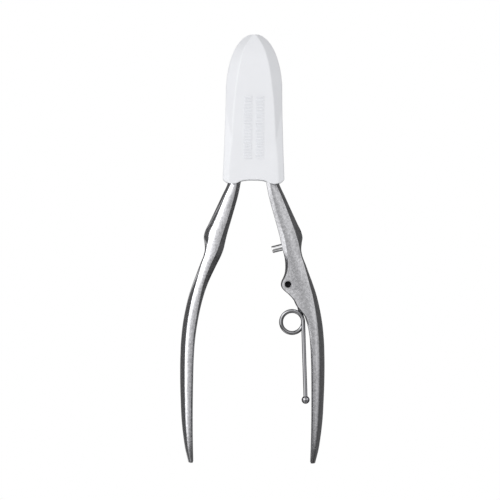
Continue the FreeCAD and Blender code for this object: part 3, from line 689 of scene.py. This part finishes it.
def tube(name, path, radius):
    """Round wire along a path: a circle square to it at each point, with domed ends, whose
    circles shrink as the sine and move out as the cosine of an angle."""
    along = np.gradient(path, axis=0)
    along /= np.linalg.norm(along, axis=1, keepdims=True)
    side = np.cross(along, (0, 0, 1))
    side /= np.linalg.norm(side, axis=1, keepdims=True)
    up = np.cross(side, along)
    bend = np.linspace(DOME_START, np.pi / 2, 6)
    shrink, move = radius * np.sin(bend), radius * np.cos(bend)[:, None]
    middle = np.arange(1, len(path) - 1)
    at_end = np.full(len(bend), len(path) - 1)
    index = np.concatenate([0 * at_end, middle, at_end])
    radii = np.concatenate([shrink, np.full(len(middle), radius), shrink[::-1]])
    centres = np.concatenate([
        path[0] - along[0] * move, path[middle], path[-1] + along[-1] * move[::-1],
    ])
    turn = np.linspace(0, 2 * np.pi, 28, endpoint=False)[None, :, None]
    circle = side[index][:, None] * np.cos(turn) + up[index][:, None] * np.sin(turn)
    return skin(name, centres[:, None] + circle * radii[:, None, None])


# The wire's base colour is far darker than the polished stainless. It is painted shade, standing
# in for the dark surroundings the wire reflects.
drawn_stainless_painted_shade = metal("drawn_stainless_painted_shade", (0.27, 0.27, 0.28), roughness=0.07,
                        clouds=0.10, streaks=0.12, grain=0.05, grain_size=0.3, bump=0.003)
path = spring_path()
spring_wire = smooth(tube("spring_wire_drawn", path, WIRE_RADIUS))
assign(spring_wire, "spring", "spring_wire", drawn_stainless_painted_shade)


# --- Spring ball ------------------------------------------------------------------
# A stainless bead pressed on the end of the long leg, which rubs on the left handle. Its
# poles are left open by a small angle, which the end fans close.
BALL_RADIUS = 1.2
POLE_ANGLE = 0.04
ball_centre = path[-1] + LEG_DIRECTION * LEG_IN_BALL
polar = np.linspace(POLE_ANGLE, np.pi - POLE_ANGLE, 40)
ball_profile = np.column_stack([-BALL_RADIUS * np.cos(polar), BALL_RADIUS * np.sin(polar)])
ball = smooth(revolved("spring_ball_bead", ball_profile, ball_centre, (0, 0, 1)))
# The bead takes the wire's darkened metal, so its dark base colour is painted shade too.
assign(ball, "spring", "spring_ball", drawn_stainless_painted_shade)


# --- Spring pin -------------------------------------------------------------------
# A pin through the web that holds the spring's hook. Its ends are spread in the seats round its
# hole and a little dished. Its near-black colour is painted shade, standing in for the shadow of
# the recessed bore it sits in.
blackened_steel = metal("blackened_steel", (0.010, 0.010, 0.011), roughness=0.32,
                        clouds=0.4, streaks=0.1, grain=0.3, grain_size=0.3, bump=0.006)
PIN_TOP = 3.45
half_profile = [
    (PIN_TOP - 0.50, 0.75), (PIN_TOP - 0.45, 0.945), (PIN_TOP - 0.12, 0.945),
    (PIN_TOP - 0.03, 0.90), (PIN_TOP, 0.80), (PIN_TOP - 0.03, 0.62), (PIN_TOP - 0.10, 0.30),
]
pin_profile = [(-height, radius) for height, radius in reversed(half_profile)] + half_profile
pin = smooth(revolved("spring_pin_rivet", pin_profile, (PIN_X, PIN_Y, MID_Z), (0, 0, 1)), 50)
assign(pin, "right_side", "spring_pin", blackened_steel)


# --- Pivot and carbide tips -------------------------------------------------------
# Inside the cap: a polished shouldered screw and its spanner nut, a bronze washer between
# the two halves, and a ground carbide bar brazed to each jaw. Their own meshes are kept.
bronze = metal("bronze", (0.62, 0.42, 0.22), roughness=0.30,
               clouds=0.3, streaks=0.2, grain=0.1, grain_size=0.3, bump=0.004)
carbide = metal("carbide", (0.30, 0.30, 0.31), roughness=0.34,
                clouds=0.25, streaks=0.05, grain=0.3, grain_size=0.2, bump=0.004)
for node, material in (
    ("pivot_screw", polished_stainless), ("pivot_nut", polished_stainless),
    ("thrust_washer", bronze),
    ("right_handle_carbide_tip", carbide), ("left_handle_carbide_tip", carbide),
):
    nodes[node].data.materials.clear()
    nodes[node].data.materials.append(material)


# --- Jaw cap ----------------------------------------------------------------------
# A slip-on cover injection-moulded in white polypropylene with a satin skin: an oval nose,
# two broad faces with bevels beside them, and a flared, scalloped mouth.
CAP_TOP = 21.3
CAP_MOUTH = -23.45
CAP_WALL = 1.3
CAP_WAIST = 8.4
CAP_FLARE = 0.88
NOSE_START = 4.8
NOSE_LENGTH = 16.65
BACK_DEPTH = 6.0
FRONT_DEPTH = 5.72
UPPER_TILT = math.radians(42)
FLARE_TILT = math.radians(28)
FLARE_TOP = 1
CORNER_POWER = 110
RIM_RADIUS = 0.35

# The hollow's outline is the outside's a little nearer the nose, less the wall, and it stops
# short of the nose.
INSIDE_LAG = 0.8
INSIDE_TOP = 2.2

# Down the cap: height, edge of the broad face, and the flare's own edge on that face.
FACE_ROWS = np.array([
    (21.3, 0.25, 0.50), (20.6, 0.80, 1.20), (19.9, 1.30, 1.80), (19.0, 1.90, 2.30),
    (17.4, 2.80, 3.00), (15.3, 3.55, 3.50), (12.0, 4.40, 3.90), (8.5, 5.00, 4.00),
    (4.8, 5.45, 4.10), (2.0, 5.78, 4.20), (-1.0, 6.03, 4.50), (-2.7, 6.13, 4.80),
    (-5.0, 6.26, 5.35), (-8.0, 6.42, 5.95), (-11.0, 6.50, 6.52), (-14.7, 6.52, 6.95),
    (-19.0, 6.54, 7.28), (-24.0, 6.55, 7.45),
])

# The scalloped mouth: share of the half width, share of the lobes' length.
LOBE_LENGTH = 1.2
LOBE_ROWS = np.array([
    (0, 1.0), (0.2, 0.97), (0.42, 0.68), (0.56, 0.18), (0.68, 0.0), (0.80, 0.10),
    (0.92, 0.45), (1.0, 0.95), (1.1, 1.0),
])


def cap_half_width(y):
    """Half width: waist times (1 - rise^1.85)^0.46 up the nose, widening as the power 1.5 of
    the way down to the mouth."""
    rise = np.clip((y - NOSE_START) / NOSE_LENGTH, 0, 1)
    down = np.clip((NOSE_START - y) / (NOSE_START - CAP_MOUTH), 0, 1.05)
    return CAP_WAIST * (1 - rise ** 1.85) ** 0.46 + CAP_FLARE * down ** 1.5


def polygon_radius(across, up, facets):
    """Distance from the middle to a rounded polygon in one direction: each facet (across, up,
    distance) cuts it at distance / (direction . normal), and the power mean rounds corners."""
    pull = sum((np.maximum(a * across + u * up, 0) / d) ** CORNER_POWER for a, u, d in facets)
    return pull ** (-1 / CORNER_POWER)


def cap_radius(y, cosine, sine):
    """Outline of the cap at height y: faces, sides and bevels, joined with the flare's own.
    Up the nose the depth falls by 0.62 rise^2.6."""
    face, flare = (values.reshape(y.shape) for values in through(FACE_ROWS, y.ravel()).T)
    rise = np.clip((y - NOSE_START) / NOSE_LENGTH, 0, 1)
    depth = np.where(sine > 0, FRONT_DEPTH, BACK_DEPTH) * (1 - 0.62 * rise ** 2.6)
    across, up = np.abs(cosine), np.abs(sine)
    flats = [(0, 1, depth), (1, 0, cap_half_width(y))]

    def bevelled(edge, tilt):
        a, u = math.sin(tilt), math.cos(tilt)
        return polygon_radius(across, up, flats + [(a, u, edge * a + depth * u)])

    body, skirt = bevelled(face, UPPER_TILT), bevelled(flare, FLARE_TILT)
    return np.where(y < FLARE_TOP, np.maximum(body, skirt), body)


def cap_rings():
    """Rings of the cap: down its outside from the nose to the mouth, closest together at the
    nose, round the rim, and up the inside. The rim's height follows the lobes: lowest two
    thirds out, an arch in the middle."""
    turn = np.linspace(0, 2 * np.pi, 288, endpoint=False)[None]
    cosine, sine = np.cos(turn), np.sin(turn)
    mouth = np.full(turn.shape, CAP_MOUTH)
    out = np.abs(cap_radius(mouth, cosine, sine) * cosine) / (CAP_WAIST + CAP_FLARE)
    rim = CAP_MOUTH + LOBE_LENGTH * through(LOBE_ROWS, out.ravel()).reshape(turn.shape)
    near_nose = 0.06 * np.linspace(0, 1, 24)[:-1, None] ** 1.6
    down = np.concatenate([near_nose, 0.06 + 0.94 * np.linspace(0, 1, 150)[:, None]])
    outer_y = CAP_TOP - (CAP_TOP - rim - RIM_RADIUS) * down
    outer_radius = cap_radius(outer_y, cosine, sine)
    bend = np.linspace(0, np.pi / 2, 7)[1:, None]
    rim_y = rim + RIM_RADIUS * (1 - np.sin(bend))
    rim_radius = outer_radius[-1:] - RIM_RADIUS * (1 - np.cos(bend))
    inside = np.linspace(0, 1, 70)[:, None]
    inner_y = rim + RIM_RADIUS + (CAP_TOP - INSIDE_TOP - rim) * inside
    inner_radius = cap_radius(inner_y + INSIDE_LAG, cosine, sine) - CAP_WALL
    y = np.concatenate([outer_y, rim_y, inner_y])
    radius = np.concatenate([outer_radius, rim_radius, inner_radius])
    return np.stack([radius * cosine, y, MID_Z + radius * sine], -1)


def plastic(name, colour, roughness):
    """Satin moulded plastic: a faint cloudiness and a fine eroded skin."""
    material, tree, shader = new_material(name)
    place = new_node(tree, "TexCoord")
    clouds = new_node(tree, "TexNoise", {"Scale": 160, "Detail": 4})
    grain = new_node(tree, "TexNoise", {"Scale": 2600, "Detail": 2})
    darker = (*(channel * 0.965 for channel in colour), 1)
    lighter = (*(min(channel * 1.02, 1) for channel in colour), 1)
    tint = new_node(tree, "Mix", {"A": darker, "B": lighter}, data_type="RGBA")
    rough = new_node(tree, "MapRange", {"To Min": roughness - 0.05, "To Max": roughness + 0.07})
    relief = new_node(tree, "Bump", {"Distance": 0.012 * MM, "Strength": 1})
    link_all(tree, [
        (place, "Object", clouds, "Vector"),
        (place, "Object", grain, "Vector"),
        (clouds, 0, tint, "Factor"),
        (tint, "Result", shader, "Base Color"),
        (clouds, 0, rough, "Value"),
        (rough, "Result", shader, "Roughness"),
        (grain, 0, relief, "Height"),
        (relief, "Normal", shader, "Normal"),
    ])
    return material


white_plastic = plastic("white_plastic", (0.86, 0.87, 0.90), roughness=0.38)
cap = smooth(skin("jaw_cap_moulding", cap_rings()), 40)
assign(cap, "cap", "jaw_cap", white_plastic)


# --- Thumb bars -------------------------------------------------------------------
# Two columns of short raised bars, all the same, moulded on the cap's front face to give
# the thumb a hold. A bar is 2.4 mm long and 0.42 mm wide.
BAR_LENGTH = 2.4
BAR_WIDTH = 0.42
BAR_HEIGHT = 0.36
BAR_TOP = 2 * MID_Z - 0.01
BAR_COLUMNS = (-1.8, 1.8)
BAR_ROWS = np.linspace(2.4, -15.8, 20)

# Share of the height, share of the width.
BAR_PROFILE = np.array([(0.0, 1.0), (0.5, 1.0), (0.8, 0.93), (0.95, 0.78), (1.0, 0.5)])


def bar(x, y):
    """Raised bar: superellipses of power 4, drawn in towards the top as the profile says."""
    across, along = superellipse(np.linspace(0, 2 * np.pi, 32, endpoint=False), 0.5)
    level, share = BAR_PROFILE[:, :1], BAR_PROFILE[:, 1:]
    inset = (1 - share) * BAR_WIDTH / 2
    z = np.broadcast_to(BAR_TOP - BAR_HEIGHT * (1 - level), (len(BAR_PROFILE), len(across)))
    rings = [x + across * (BAR_LENGTH / 2 - inset), y + along * (BAR_WIDTH / 2 - inset), z]
    return skin("cap_thumb_bars", np.stack(rings, -1))


bars = [bar(x, y) for x in BAR_COLUMNS for y in BAR_ROWS]
with bpy.context.temp_override(active_object=bars[0], selected_editable_objects=bars):
    bpy.ops.object.join()
assign(smooth(bars[0], 40), "cap", None, white_plastic)
